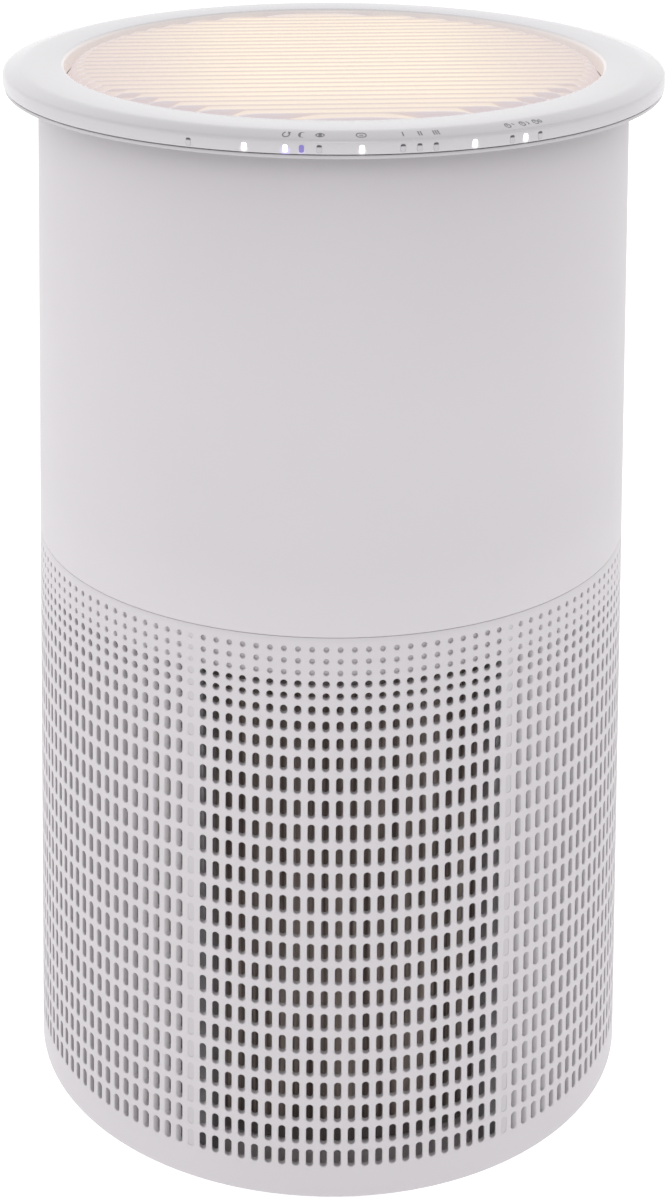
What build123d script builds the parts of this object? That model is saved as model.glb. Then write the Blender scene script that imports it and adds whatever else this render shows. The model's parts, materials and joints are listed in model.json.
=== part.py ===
from build123d import *
import math
import os

# Round air purifier. Millimetres, +Z up, the floor at Z = 0, the front towards -Y.
# Angles run round the Z axis from the front, positive towards +X.

# ---- driving dimensions ----
foot_h = 3.0                # rubber feet under the base pan
foot_r = 9.0
foot_count = 6
foot_inset = 14.0           # foot centre, in from the shell's inner wall

body_r = 145.4              # outer radius of the lower shell at its foot
draft = 0.027               # radius lost per unit of height
shell_wall = 2.5
shell_foot_round = 2.0
seam_z = 280.0              # joint line between the lower housing and the head
seam_gap = 0.8

sector_count = 6            # moulded sectors of intake slots
sector_columns = 23         # open columns in a sector, beside one blind column
slot_w = 3.2
slot_h = 8.7
slot_bridge = 3.0           # material between one slot and the next above it
slot_rows = 16              # rows of full height
short_rows = 7              # rows above them, each shorter than the last
slot_shrink = 0.93
first_row_rise = 21.0       # centre of the lowest row, above the shell's foot
slot_windows = 3            # runs of rows, each cut as one tall window

pan_floor = 2.5
pan_rim_h = 9.0
fit_gap = 0.3               # between pieces that are lifted apart
slip = 0.2                  # round a piece that drops into another
press_clear = 0.05          # round lenses and pins in their holes

filter_r = 116.0
filter_bore_r = 75.0
filter_seat_h = 6.0         # raised seat on the base pan
filter_cap_h = 8.0
filter_cap_wall = 2.0
filter_h = 243.0            # from the bottom cap to the top cap
gasket_h = 4.5
gasket_w = 10.0
sleeve_wall = 1.2
pleat_count = 72
pleat_w = 0.9
carbon_wall = 3.0
tab_w = 22.0
tab_t = 1.0
tab_rise = 3.0

post_w = 8.0                # guide posts behind the blind columns
post_depth = 11.0
magnet_r = 2.5
magnet_h = 4.0
magnet_post = 2
reed_w = 16.0
base_screw_len = 12.0

deck_t = 3.0
spigot_wall = 2.2
spigot_rise = 8.0           # spigot above the seam
deck_flange_w = 9.0
ledge_t = 3.0
bell_throat_r = 72.0
bell_flare = 12.0
bell_lip = 2.2
guard_bar = 2.0
guard_rings = 6
guard_t = 2.4

duct_r = 117.0              # inner radius of the fan duct
duct_wall = 2.5
duct_flange_w = 14.0
duct_flange_t = 3.0

fan_r = 98.0
fan_h = 46.0                # blade height and both plates
fan_plate = 2.5
shroud_r = 70.0             # inlet eye of the impeller
shroud_rise = 6.0
fan_blades = 9
blade_t = 2.0
blade_inner_r = 66.0
blade_sweep = 34.0          # degrees a blade trails from its root to its tip
fan_run_gap = 3.0           # shroud to bell mouth
hub_wall = 2.5
can_r = 34.0
can_wall = 1.6
can_h = 30.0
core_r = 30.0
core_h = 18.0
shaft_r = 3.0
bearing_r = 8.0
bearing_h = 6.0
tube_wall = 3.0
nut_r = 6.0
nut_h = 5.0

stator_hub_r = 60.0
stator_wall = 2.5
stator_plate = 3.0
stator_h = 70.0
vane_count = 11
vane_t = 2.0
vane_h = 30.0
vane_ring_wall = 2.6
motor_flange_r = 22.0
motor_flange_t = 3.0

lamp_board_r = 50.0
board_t = 1.6
lamp_boss_h = 3.0
led_w = 3.5
led_h = 0.8
led_circles = ((18.0, 6), (36.0, 12))
reflector_wall = 1.5
reflector_h = 16.0
reflector_flare = 5.0       # reflector past the motor housing
reflector_seat = 8.0
dome_rise = 12.0
dome_wall = 1.6

rim_r = 147.7               # outer radius of the control ring
rim_top_r = 139.3
rim_open_r = 120.5
rim_h = 7.8                 # cover, from its lower edge to its top
rim_face_h = 5.7            # upright face that carries the lenses
rim_wall = 2.4
rim_edge = 1.4              # round of the ring's inner edge
rim_gap = 0.5               # dark joint between the cover and its tray
tray_t = 1.5
tray_inner_r = 123.6
total_h = 500.3
fin_pitch = 8.4
fin_t = 2.4
fin_h = 17.1
fin_drop = 0.7              # fin tops below the rim's top
fin_pairs = 14              # fins on each side of the middle
fin_shoulder = 7.0          # the fins' ends are rounded off where they drop to the hoop
hoop_wall = 3.0
hoop_h = 14.1
hoop_drop = 7.0             # hoop below the fin tops
rib_t = 2.0

lens_w = 2.0
lens_h = 3.1
lens_depth = 4.0
lens_rise = 0.7             # lens above the lower edge of the ring
lens_angles = (-27.2, -18.1, -11.7, -9.2, -6.5, 0.0, 6.3, 8.9, 11.5, 17.9, 24.4, 26.9, 29.7)
pad_angles = (-28.0, -11.8, -9.2, -6.5, 0.0, 9.0, 27.3)
pad_r = 1.8
pad_circle_r = 139.5
control_board_t = 1.2
control_board_w = 10.0
control_board_half = 36.0

inlet_z = 318.0             # mains inlet, low on the back of the head
inlet_w = 24.0
inlet_h = 16.0
inlet_depth = 11.0
inlet_lip = 2.0
inlet_wall = 2.2
pin_r = 1.2
pin_spacing = 8.6
pin_len = 7.0

psu_w = 84.0
psu_h = 70.0
psu_z = 385.0
psu_part_depth = 7.0
sensor_w = 40.0
sensor_h = 34.0
sensor_depth = 8.0
sensor_angle = 112.0
sensor_z = 372.0
vent_slots = 6
vent_slot_w = 2.0
vent_slot_h = 14.0
vent_pitch = 5.0

screw_r = 1.5
screw_head_r = 2.8
screw_head_h = 1.8
screw_count = 6
screw_len = 5.0

# ---- sizes that follow ----
shell_foot_z = foot_h
row_z0 = shell_foot_z + first_row_rise
sector_angle = 360.0 / sector_count
column_angle = sector_angle / (sector_columns + 1)
shell_top_z = seam_z - seam_gap / 2
head_foot_z = seam_z + seam_gap / 2


def body_radius(z):
    """Outer radius of the drafted body at height z."""
    return body_r - draft * (z - shell_foot_z)


def inner_radius(z):
    return body_radius(z) - shell_wall


pan_r = inner_radius(shell_foot_z + pan_floor + pan_rim_h) - slip
pan_top_z = shell_foot_z + pan_floor
seat_top_z = pan_top_z + filter_seat_h
filter_z0 = seat_top_z + fit_gap
filter_z1 = filter_z0 + filter_h
gasket_z1 = filter_z1 + gasket_h
deck_z = gasket_z1 + fit_gap
deck_top_z = deck_z + deck_t
post_top_z = deck_z - fit_gap
ledge_z = seam_z + spigot_rise
ledge_top_z = ledge_z + ledge_t
spigot_r = inner_radius(shell_top_z) - 3 * slip
ledge_inner_r = spigot_r - deck_flange_w + 1.0
deck_hole_r = bell_throat_r + guard_bar + 2 * slip
screw_circle_r = spigot_r - spigot_wall - screw_head_r - slip
duct_flange_z1 = ledge_top_z + duct_flange_t
duct_out_r = duct_r + duct_wall

cover_z0 = total_h - rim_h
tray_top_z = cover_z0 - rim_gap
tray_z0 = tray_top_z - tray_t
tray_screw_r = inner_radius(tray_z0) - screw_head_r - 2 * slip
fin_top_z = total_h - fin_drop
hoop_z1 = fin_top_z - hoop_drop
hoop_z0 = hoop_z1 - hoop_h
duct_top_z = hoop_z0
lens_z0 = cover_z0 + lens_rise

reed_r = spigot_r - spigot_wall - reed_w / 4 - 1.0

bell_z1 = ledge_z - fan_run_gap
fan_z0 = bell_z1 + fan_run_gap
fan_z1 = fan_z0 + fan_h
can_z0 = fan_z0 + 12.0
can_z1 = can_z0 + can_h
motor_flange_z0 = fan_z1 + fan_run_gap
stator_z0 = motor_flange_z0 + motor_flange_t
stator_z1 = stator_z0 + stator_h
vane_z1 = stator_z1 - 12.0
vane_z0 = vane_z1 - vane_h
lamp_board_z = stator_z1
reflector_z0 = lamp_board_z + board_t
reflector_rim_r = stator_hub_r + reflector_flare
post_angles = [sector_angle * (k + 0.5) for k in range(sector_count)]
foot_angles = [360.0 / foot_count * k for k in range(foot_count)]
post_r = inner_radius(post_top_z) - slip
post_circle_r = post_r - post_depth / 2
screw_angles = [360.0 / screw_count * k + 15.0 for k in range(screw_count)]


# ---- helpers ----
def turned(points, degrees=360.0):
    """A solid of revolution about Z from (radius, height) points."""
    return revolve(make_face(Plane.XZ * Polyline(*points, close=True)), Axis.Z, degrees)


def ring(outer, inner, low, high):
    return turned([(inner, low), (outer, low), (outer, high), (inner, high)])


def disc(radius, low, high, x=0.0, y=0.0):
    return Pos(x, y, (low + high) / 2) * Cylinder(radius, high - low)


def block(x0, x1, y0, y1, z0, z1):
    return Pos((x0 + x1) / 2, (y0 + y1) / 2, (z0 + z1) / 2) * Box(x1 - x0, y1 - y0, z1 - z0)


def around(shape, angle):
    """Turns a shape made at the front round to an angle."""
    return shape.rotate(Axis.Z, angle)


def at_front(radius, angle):
    """X and Y of a point at a radius and an angle from the front."""
    a = math.radians(angle)
    return radius * math.sin(a), -radius * math.cos(a)


def group(shapes):
    return Compound([solid for shape in shapes for solid in shape.solids()])


def screws(radius, seat_z, length, angles, up=True):
    """Screws with their heads on seat_z; up is the way that the shanks point."""
    made = []
    for angle in angles:
        x, y = at_front(radius, angle)
        way = 1.0 if up else -1.0
        head = sorted((seat_z, seat_z - way * screw_head_h))
        shank = sorted((seat_z, seat_z + way * length))
        made.append(disc(screw_head_r, *head, x, y) + disc(screw_r, *shank, x, y))
    return made


def screw_holes(shape, radius, low, high, angles):
    for angle in angles:
        shape -= disc(screw_r + press_clear, low, high, *at_front(radius, angle))
    return shape


# ---- lower housing ----
def slot_row_spans():
    """Lowest and highest edge of each row of slots."""
    heights = [slot_h] * slot_rows
    heights += [slot_h - slot_shrink * (k + 1) for k in range(short_rows)]
    spans, low = [], row_z0 - slot_h / 2
    for height in heights:
        spans.append((low, low + height))
        low += height + slot_bridge
    return spans


def intake_shell():
    """Drafted tube, with windows drawn straight out of the mould in each sector."""
    foot_r_out = body_radius(shell_foot_z)
    wall = turned([
        (foot_r_out - shell_wall, shell_foot_z),
        (foot_r_out - shell_foot_round, shell_foot_z),
        (foot_r_out - draft * shell_foot_round, shell_foot_z + shell_foot_round),
        (body_radius(shell_top_z), shell_top_z),
        (inner_radius(shell_top_z), shell_top_z),
    ], sector_angle)
    sector = around(wall, -90.0 - sector_angle / 2)
    spans = slot_row_spans()
    per_window = math.ceil(len(spans) / slot_windows)
    cuts = []
    for first in range(0, len(spans), per_window):
        run = spans[first:first + per_window]
        low, high = run[0][0], run[-1][1]
        for column in range(sector_columns):
            angle = (column - (sector_columns - 1) / 2) * column_angle
            x, y = at_front(body_radius((low + high) / 2), angle)
            width = slot_w * math.cos(math.radians(angle))
            cuts.append(Pos(x, y, (low + high) / 2) * Box(width, 8 * shell_wall, high - low))
    sector -= cuts
    sectors = [around(sector, sector_angle * k) for k in range(sector_count)]
    return sectors[0].fuse(*sectors[1:])


def base_pan():
    """Floor plate with an upright rim and a raised seat for the filter."""
    rim_z = pan_top_z + pan_rim_h
    seat_in, seat_out = filter_bore_r + 20.0, filter_r
    pan = turned([
        (0, shell_foot_z), (pan_r, shell_foot_z), (pan_r, rim_z), (pan_r - pan_floor, rim_z),
        (pan_r - pan_floor, pan_top_z), (seat_out, pan_top_z), (seat_out, seat_top_z),
        (seat_in, seat_top_z), (seat_in, pan_top_z), (0, pan_top_z),
    ])
    return screw_holes(pan, post_circle_r, shell_foot_z, pan_top_z, post_angles)


def foot_pads():
    radius = pan_r - foot_inset
    return group([disc(foot_r, 0, foot_h, *at_front(radius, a)) for a in foot_angles])


def guide_posts():
    """Upright posts behind the blind columns; the deck of the head rests on them."""
    post = block(-post_w / 2, post_w / 2, -post_r, -post_r + post_depth, pan_top_z, post_top_z)
    post &= turned([(0, 0), (inner_radius(0) - slip, 0), (inner_radius(total_h) - slip, total_h),
                    (0, total_h)])
    post = screw_holes(post, post_circle_r, pan_top_z, shell_foot_z + base_screw_len, [0.0])
    posts = [around(post, a) for a in post_angles]
    pocket = at_front(post_circle_r, post_angles[magnet_post])
    posts[magnet_post] -= disc(magnet_r + press_clear, post_top_z - magnet_h, post_top_z, *pocket)
    return group(posts)


def interlock_magnet():
    place = at_front(post_circle_r, post_angles[magnet_post])
    return disc(magnet_r, post_top_z - magnet_h, post_top_z, *place)


def base_screws():
    return group(screws(post_circle_r, shell_foot_z, base_screw_len, post_angles))


# ---- filter ----
def filter_cap(low, lip_up):
    """Moulded end cap: a plate with a lip round its inner and outer edges."""
    high = low + filter_cap_h
    plate = (low, low + filter_cap_wall) if lip_up else (high - filter_cap_wall, high)
    cap = ring(filter_r, filter_bore_r, *plate)
    cap += ring(filter_r, filter_r - filter_cap_wall, low, high)
    cap += ring(filter_bore_r + filter_cap_wall, filter_bore_r, low, high)
    return cap


def media_span():
    return filter_z0 + filter_cap_wall, filter_z1 - filter_cap_wall


def prefilter_sleeve():
    outer = filter_r - filter_cap_wall
    return ring(outer, outer - sleeve_wall, *media_span())


def filter_pleats():
    """Folded paper: a zigzag band between the sleeve and the carbon liner."""
    low, high = media_span()
    outer = filter_r - filter_cap_wall - sleeve_wall - slip
    inner = filter_bore_r + filter_cap_wall + carbon_wall + slip + pleat_w
    step = 360.0 / pleat_count
    rim, back = [], []
    for k in range(pleat_count):
        rim += [at_front(outer, step * k), at_front(inner, step * (k + 0.5))]
        back += [at_front(outer - 3 * pleat_w, step * k), at_front(inner - pleat_w, step * (k + 0.5))]
    band = make_face(Polyline(*rim, close=True)) - make_face(Polyline(*back, close=True))
    return Pos(0, 0, low) * extrude(band, high - low)


def carbon_liner():
    inner = filter_bore_r + filter_cap_wall
    return ring(inner + carbon_wall, inner, *media_span())


def filter_gasket():
    middle = (filter_r + filter_bore_r) / 2 + gasket_w
    return ring(middle + gasket_w / 2, middle - gasket_w / 2, filter_z1, gasket_z1)


def pull_tab():
    """Flat fabric loop, stitched to the top cap beside the bore."""
    inner = filter_bore_r + filter_cap_wall
    outer = inner + 14.0
    profile = [
        (-outer, filter_z1), (-outer, filter_z1 + tab_t), (-inner, filter_z1 + tab_t),
        (-inner + tab_w, filter_z1 + tab_t + tab_rise), (-inner + tab_w, filter_z1 + tab_rise),
        (-inner, filter_z1),
    ]
    face = make_face(Plane.YZ * Polyline(*profile, close=True))
    return Pos(-tab_w / 2, 0, 0) * extrude(face, tab_w, dir=(1, 0, 0))


# ---- head: shell and air path ----
def upper_shell():
    """Plain drafted tube with a ledge inside, the inlet hole and the sensor vents."""
    shell = turned([
        (inner_radius(head_foot_z), head_foot_z), (body_radius(head_foot_z), head_foot_z),
        (body_radius(tray_z0), tray_z0), (inner_radius(tray_z0), tray_z0),
        (inner_radius(ledge_top_z), ledge_top_z), (ledge_inner_r, ledge_top_z),
        (ledge_inner_r, ledge_z), (inner_radius(ledge_z), ledge_z),
    ])
    shell -= inlet_block(inlet_w, inlet_h, press_clear)
    vent = block(-vent_slot_w / 2, vent_slot_w / 2, -body_r, -duct_out_r - sensor_depth,
                 sensor_z - vent_slot_h / 2, sensor_z + vent_slot_h / 2)
    for k in range(vent_slots):
        shift = (k - (vent_slots - 1) / 2) * vent_pitch
        shell -= around(Pos(shift, 0, 0) * vent, sensor_angle)
    shell = screw_holes(shell, screw_circle_r, ledge_z, ledge_top_z, screw_angles)
    return shell


def inlet_deck():
    """Floor of the head, with a spigot wall that drops into the lower housing."""
    deck = turned([
        (deck_hole_r, deck_z), (spigot_r, deck_z), (spigot_r, ledge_z),
        (spigot_r - deck_flange_w, ledge_z), (spigot_r - deck_flange_w, ledge_z - deck_t),
        (spigot_r - spigot_wall, ledge_z - deck_t), (spigot_r - spigot_wall, deck_top_z),
        (deck_hole_r, deck_top_z),
    ])
    return screw_holes(deck, screw_circle_r, ledge_z - deck_t, ledge_z, screw_angles)


def inlet_bell():
    """Bell mouth: the flare on the deck narrows in an arc to the throat."""
    flare_r = bell_throat_r + bell_flare
    with BuildPart() as bell:
        with BuildSketch(Plane.XZ):
            with BuildLine():
                Line((bell_throat_r, bell_z1), (bell_throat_r, deck_top_z + bell_flare))
                RadiusArc((bell_throat_r, deck_top_z + bell_flare),
                          (flare_r, deck_top_z), -bell_flare)
                Line((flare_r, deck_top_z), (flare_r + bell_lip + 3.0, deck_top_z))
                Line((flare_r + bell_lip + 3.0, deck_top_z),
                     (flare_r + bell_lip + 3.0, deck_top_z + bell_lip))
                Line((flare_r + bell_lip + 3.0, deck_top_z + bell_lip),
                     (flare_r + bell_lip, deck_top_z + bell_lip))
                RadiusArc((flare_r + bell_lip, deck_top_z + bell_lip),
                          (bell_throat_r + bell_lip, deck_top_z + bell_flare + bell_lip), bell_flare)
                Line((bell_throat_r + bell_lip, deck_top_z + bell_flare + bell_lip),
                     (bell_throat_r + bell_lip, bell_z1))
                Line((bell_throat_r + bell_lip, bell_z1), (bell_throat_r, bell_z1))
            make_face()
        revolve(axis=Axis.Z)
    return bell.part


def finger_guard():
    """Flat rings and spokes across the inlet hole."""
    outer = deck_hole_r - slip
    guard = ring(outer, outer - guard_bar, deck_z, deck_z + guard_t)
    step = outer / (guard_rings + 1)
    for k in range(1, guard_rings + 1):
        guard += ring(step * k + guard_bar / 2, step * k - guard_bar / 2, deck_z, deck_z + guard_t)
    for k in range(3):
        spoke = block(-guard_bar / 2, guard_bar / 2, -outer + guard_bar / 2, outer - guard_bar / 2,
                      deck_z, deck_z + guard_t)
        guard += around(spoke, 60.0 * k)
    return guard


def fan_duct():
    """Round duct on the ledge, with a step inside that carries the stator."""
    step_z = vane_z0 - duct_wall
    duct = turned([
        (duct_r, ledge_top_z), (duct_out_r + duct_flange_w, ledge_top_z),
        (duct_out_r + duct_flange_w, duct_flange_z1), (duct_out_r, duct_flange_z1),
        (duct_out_r, duct_top_z), (duct_r, duct_top_z), (duct_r, vane_z0),
        (duct_r - vane_ring_wall, vane_z0), (duct_r - vane_ring_wall, step_z + duct_wall / 2),
        (duct_r, step_z - duct_wall / 2),
    ])
    return screw_holes(duct, screw_circle_r, ledge_top_z, duct_flange_z1, screw_angles)


def duct_screws():
    """Long screws up through deck, ledge and duct flange."""
    length = duct_flange_z1 - ledge_z + deck_t
    return group(screws(screw_circle_r, ledge_z - deck_t, length, screw_angles))


def stator():
    """Motor housing with a floor, carried by upright vanes and a ring in the duct."""
    ring_out = duct_r - slip
    cup = turned([
        (bearing_r + tube_wall, stator_z0), (stator_hub_r, stator_z0), (stator_hub_r, stator_z1),
        (stator_hub_r - stator_wall, stator_z1), (stator_hub_r - stator_wall, stator_z0 + stator_plate),
        (bearing_r + tube_wall, stator_z0 + stator_plate),
    ])
    vane = block(-vane_t / 2, vane_t / 2, -ring_out + 0.5, -stator_hub_r + stator_wall / 2,
                 vane_z0, vane_z1)
    body = cup + ring(ring_out, ring_out - vane_ring_wall, vane_z0, vane_z1)
    body += [around(vane, 360.0 / vane_count * k) for k in range(vane_count)]
    return body


# ---- motor and impeller ----
def motor_flange():
    """Bearing tube hung from the motor housing, with its flange under the floor."""
    tube_r = bearing_r + tube_wall
    return turned([
        (bearing_r, can_z0 + can_wall + slip), (tube_r, can_z0 + can_wall + slip),
        (tube_r, motor_flange_z0), (motor_flange_r, motor_flange_z0), (motor_flange_r, stator_z0),
        (bearing_r, stator_z0),
    ])


def bearing_spans():
    low = can_z0 + can_wall + 1.0
    high = stator_z0 - bearing_h - 1.0
    return (low, low + bearing_h), (high, high + bearing_h)


def bearings():
    return group([ring(bearing_r, shaft_r + 0.05, *span) for span in bearing_spans()])


def motor_core():
    """Wound core pressed on the bearing tube."""
    low = can_z0 + can_wall + 4.0
    core = ring(core_r - 9.0, bearing_r + tube_wall, low, low + core_h)
    for k in range(9):
        tooth = block(-3.0, 3.0, -core_r + 0.6, -core_r + 10.0, low + 2.0, low + core_h - 2.0)
        core += around(tooth, 40.0 * k)
    return core


def rotor_can():
    """Steel can round the core; its floor carries the shaft."""
    return turned([
        (shaft_r, can_z0), (can_r, can_z0), (can_r, can_z1), (can_r - can_wall, can_z1),
        (can_r - can_wall, can_z0 + can_wall), (shaft_r, can_z0 + can_wall),
    ])


def motor_shaft():
    return disc(shaft_r, can_z0 - hub_wall - nut_h - 1.0, stator_z0 - 0.5)


def impeller():
    """Hub cup, back plate, inlet shroud and blades that trail the way it turns."""
    cup_in, cup_out = can_r + press_clear, can_r + hub_wall
    hub = turned([
        (shaft_r + press_clear, can_z0 - hub_wall), (cup_out, can_z0 - hub_wall),
        (cup_out, fan_z1 - fan_plate), (fan_r, fan_z1 - fan_plate), (fan_r, fan_z1),
        (cup_in, fan_z1), (cup_in, can_z0), (shaft_r + press_clear, can_z0),
    ])
    shroud = turned([
        (shroud_r, fan_z0), (fan_r, fan_z0 + shroud_rise),
        (fan_r, fan_z0 + shroud_rise + fan_plate), (shroud_r, fan_z0 + fan_plate),
    ])
    blade = fan_blade()
    return hub + shroud + [around(blade, 360.0 / fan_blades * k) for k in range(fan_blades)]


def fan_blade():
    """One blade: an arc from its root to its tip, as tall as the gap between the plates."""
    root = Vector(*at_front(blade_inner_r, 0.0))
    tip = Vector(*at_front(fan_r - 1.0, blade_sweep))
    chord = tip - root
    side = Vector(-chord.Y, chord.X).normalized()
    bulge = root + chord * 0.5 - side * chord.length * 0.14
    outer = ThreePointArc(root + side * blade_t, bulge + side * blade_t, tip + side * blade_t)
    inner = ThreePointArc(root, bulge, tip)
    face = make_face([inner, Line(tip, tip + side * blade_t), outer, Line(root + side * blade_t, root)])
    blade = Pos(0, 0, fan_z0) * extrude(face, fan_h)
    low, high = fan_z0 + fan_plate / 2, fan_z1 - fan_plate / 2
    room = turned([
        (can_r, low), (shroud_r, low), (fan_r, low + shroud_rise), (fan_r, high), (can_r, high),
    ])
    return blade & room


def impeller_nut():
    high = can_z0 - hub_wall
    nut = extrude(RegularPolygon(nut_r, 6), nut_h)
    return Pos(0, 0, high - nut_h) * nut - disc(shaft_r, high - nut_h, high)


# ---- lamp ----
def lamp_board():
    return disc(lamp_board_r, lamp_board_z, lamp_board_z + board_t)


def lamp_bosses():
    """Posts inside the motor housing that carry the lamp board and the reflector."""
    low = stator_z0 + stator_plate
    place = lamp_board_r - 6.0
    posts = [disc(3.5, low, lamp_board_z, *at_front(place, 120.0 * k)) for k in range(3)]
    return group(posts)


def lamp_leds():
    leds = []
    low = lamp_board_z + board_t
    for radius, count in led_circles:
        for k in range(count):
            x, y = at_front(radius, 360.0 / count * k)
            leds.append(block(x - led_w / 2, x + led_w / 2, y - led_w / 2, y + led_w / 2,
                              low, low + led_h))
    return group(leds)


def reflector():
    """White dish round the lamp board; it flares out over the rim of the motor housing."""
    inner, low, high = lamp_board_r - reflector_seat, reflector_z0, reflector_z0 + reflector_h
    return turned([
        (inner, low), (lamp_board_r, low), (stator_hub_r, low + 4.0),
        (reflector_rim_r + reflector_wall, high), (reflector_rim_r - reflector_wall, high),
        (inner, low + reflector_wall),
    ])


def lamp_dome():
    """Shallow translucent cap, part of a sphere, that rests on the edge of the reflector."""
    edge, low = reflector_rim_r, reflector_z0 + reflector_h
    outer = (edge ** 2 + dome_rise ** 2) / (2 * dome_rise)
    inner = outer - dome_wall
    centre = low + dome_rise - outer
    inner_edge = math.sqrt(inner ** 2 - (low - centre) ** 2)
    half_turn = math.asin(edge / outer) / 2

    def halfway(radius):
        return radius * math.sin(half_turn), centre + radius * math.cos(half_turn)

    outline = [
        ThreePointArc((0, centre + outer), halfway(outer), (edge, low)),
        Line((edge, low), (inner_edge, low)),
        ThreePointArc((inner_edge, low), halfway(inner), (0, centre + inner)),
        Line((0, centre + inner), (0, centre + outer)),
    ]
    return revolve(make_face(Plane.XZ * Curve(outline)), Axis.Z)


# ---- outlet and control ring ----
def outlet_grille():
    """Hoop with upright fins that run from side to side, under one turned, shouldered outline."""
    hoop_out = rim_open_r - slip
    hoop_in = hoop_out - hoop_wall
    hoop = ring(hoop_out, hoop_in, hoop_z0, hoop_z1)
    reach = hoop_in + hoop_wall / 2
    low = fin_top_z - fin_h
    flat = reach - fin_shoulder
    turn = fin_shoulder * math.sqrt(0.5)
    outline = [
        Polyline((0, fin_top_z), (0, low), (reach, low), (reach, hoop_z1)),
        ThreePointArc((reach, hoop_z1), (flat + turn, hoop_z1 + turn), (flat, fin_top_z)),
        Line((flat, fin_top_z), (0, fin_top_z)),
    ]
    envelope = revolve(make_face(Plane.XZ * Curve(outline)), Axis.Z)
    fins = []
    for k in range(-fin_pairs, fin_pairs):
        y = (k + 0.5) * fin_pitch
        fins.append(block(-reach, reach, y - fin_t / 2, y + fin_t / 2, low, fin_top_z) & envelope)
    ribs = [block(x - rib_t / 2, x + rib_t / 2, -math.sqrt(hoop_in ** 2 - x * x),
                  math.sqrt(hoop_in ** 2 - x * x), hoop_z0, hoop_z0 + rib_t * 2)
            for x in (-hoop_in / 2, 0.0, hoop_in / 2)]
    return hoop.fuse(*fins, *ribs)


def rim_tray():
    """Flat tray on top of the shell, under the control ring."""
    tray = ring(rim_r - 0.5, tray_inner_r, tray_z0, tray_top_z)
    return screw_holes(tray, tray_screw_r, tray_z0, tray_top_z, post_angles)


def tray_screws():
    return group(screws(tray_screw_r, tray_z0, screw_len, post_angles))


def rim_cover():
    """Control ring: upright face, sloping band for the touch marks, flat top, inner wall."""
    face_z1 = cover_z0 + rim_face_h
    under_z = total_h - rim_wall
    cover = turned([
        (rim_r, cover_z0), (rim_r, face_z1), (rim_top_r, total_h), (rim_open_r + rim_edge, total_h),
        (rim_open_r, total_h - rim_edge), (rim_open_r, cover_z0), (rim_open_r + rim_wall, cover_z0),
        (rim_open_r + rim_wall, under_z), (rim_top_r, under_z), (rim_r - rim_wall, face_z1 - rim_wall + 0.4),
        (rim_r - rim_wall, cover_z0),
    ])
    for angle in post_angles:
        place = at_front(tray_screw_r, angle)
        boss = disc(screw_head_r, tray_top_z, under_z + 0.5, *place)
        cover += boss - disc(screw_r + press_clear, tray_top_z, tray_z0 + screw_len + 0.2, *place)
    for angle in lens_angles:
        cover -= lens(angle, press_clear)
    return cover


def lens(angle, grow=0.0):
    """Upright window lens, flush with the face of the ring and standing on the board."""
    low = lens_z0
    shape = block(-lens_w / 2 - grow, lens_w / 2 + grow, -rim_r - 2.0, -rim_r + lens_depth,
                  low - grow, low + lens_h + grow)
    return around(shape, angle)


def light_pipes():
    face = turned([(0, cover_z0), (rim_r, cover_z0), (rim_r, total_h), (0, total_h)])
    return group([lens(angle) & face for angle in lens_angles])


def control_board():
    """Arc-shaped board behind the lenses, lying on the tray."""
    outer = rim_r - lens_depth - slip
    board = ring(outer, outer - control_board_w, tray_top_z, tray_top_z + control_board_t)
    wedge = Polyline((0, 0), at_front(2 * rim_r, -control_board_half), at_front(2 * rim_r, 0),
                     at_front(2 * rim_r, control_board_half), close=True)
    return board & Pos(0, 0, tray_z0) * extrude(make_face(wedge), rim_h)


def touch_pads():
    """Sprung foam contacts between the board and the underside of the band."""
    low = tray_top_z + control_board_t
    high = total_h - rim_wall - 1.1
    return group([disc(pad_r, low, high, *at_front(pad_circle_r, a)) for a in pad_angles])


# ---- mains and sensing ----
def inlet_face_y():
    return math.sqrt(body_radius(inlet_z) ** 2 - (inlet_w / 2) ** 2)


def inlet_block(width, height, grow=0.0):
    """Body of the mains inlet at the back, as a plain block."""
    face = inlet_face_y()
    return block(-width / 2 - grow, width / 2 + grow, face - inlet_depth, body_r,
                 inlet_z - height / 2 - grow, inlet_z + height / 2 + grow)


def mains_inlet():
    """Moulded socket with a lip on the outside and a cavity for a two-pin plug."""
    face = inlet_face_y()
    body = block(-inlet_w / 2, inlet_w / 2, face - inlet_depth, face + inlet_lip,
                 inlet_z - inlet_h / 2, inlet_z + inlet_h / 2)
    body &= disc(body_radius(inlet_z) + 0.4, inlet_z - inlet_h, inlet_z + inlet_h)
    w, h = inlet_w / 2 - inlet_wall, inlet_h / 2 - inlet_wall
    cavity_y = face - inlet_depth + inlet_wall
    body -= block(-w, w, cavity_y, body_r, inlet_z - h, inlet_z + h)
    for x in (-pin_spacing / 2, pin_spacing / 2):
        pin_hole = Pos(x, cavity_y, inlet_z) * Rot(90, 0, 0) * Cylinder(pin_r + press_clear, 20.0)
        body -= pin_hole
    return body


def inlet_pins():
    y0 = inlet_face_y() - inlet_depth
    pins = [Pos(x, y0 + pin_len / 2, inlet_z) * Rot(90, 0, 0) * Cylinder(pin_r, pin_len)
            for x in (-pin_spacing / 2, pin_spacing / 2)]
    return group(pins)


def psu_board():
    """Mains board, upright against the back of the duct."""
    return block(-psu_w / 2, psu_w / 2, duct_out_r + slip, duct_out_r + slip + board_t,
                 psu_z - psu_h / 2, psu_z + psu_h / 2)


def psu_part(x, z, width, height):
    y0 = duct_out_r + slip + board_t
    return block(x - width / 2, x + width / 2, y0, y0 + psu_part_depth,
                 psu_z + z - height / 2, psu_z + z + height / 2)


def psu_transformer():
    return psu_part(-psu_w * 0.12, psu_h * 0.1, 22.0, 24.0)


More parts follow.
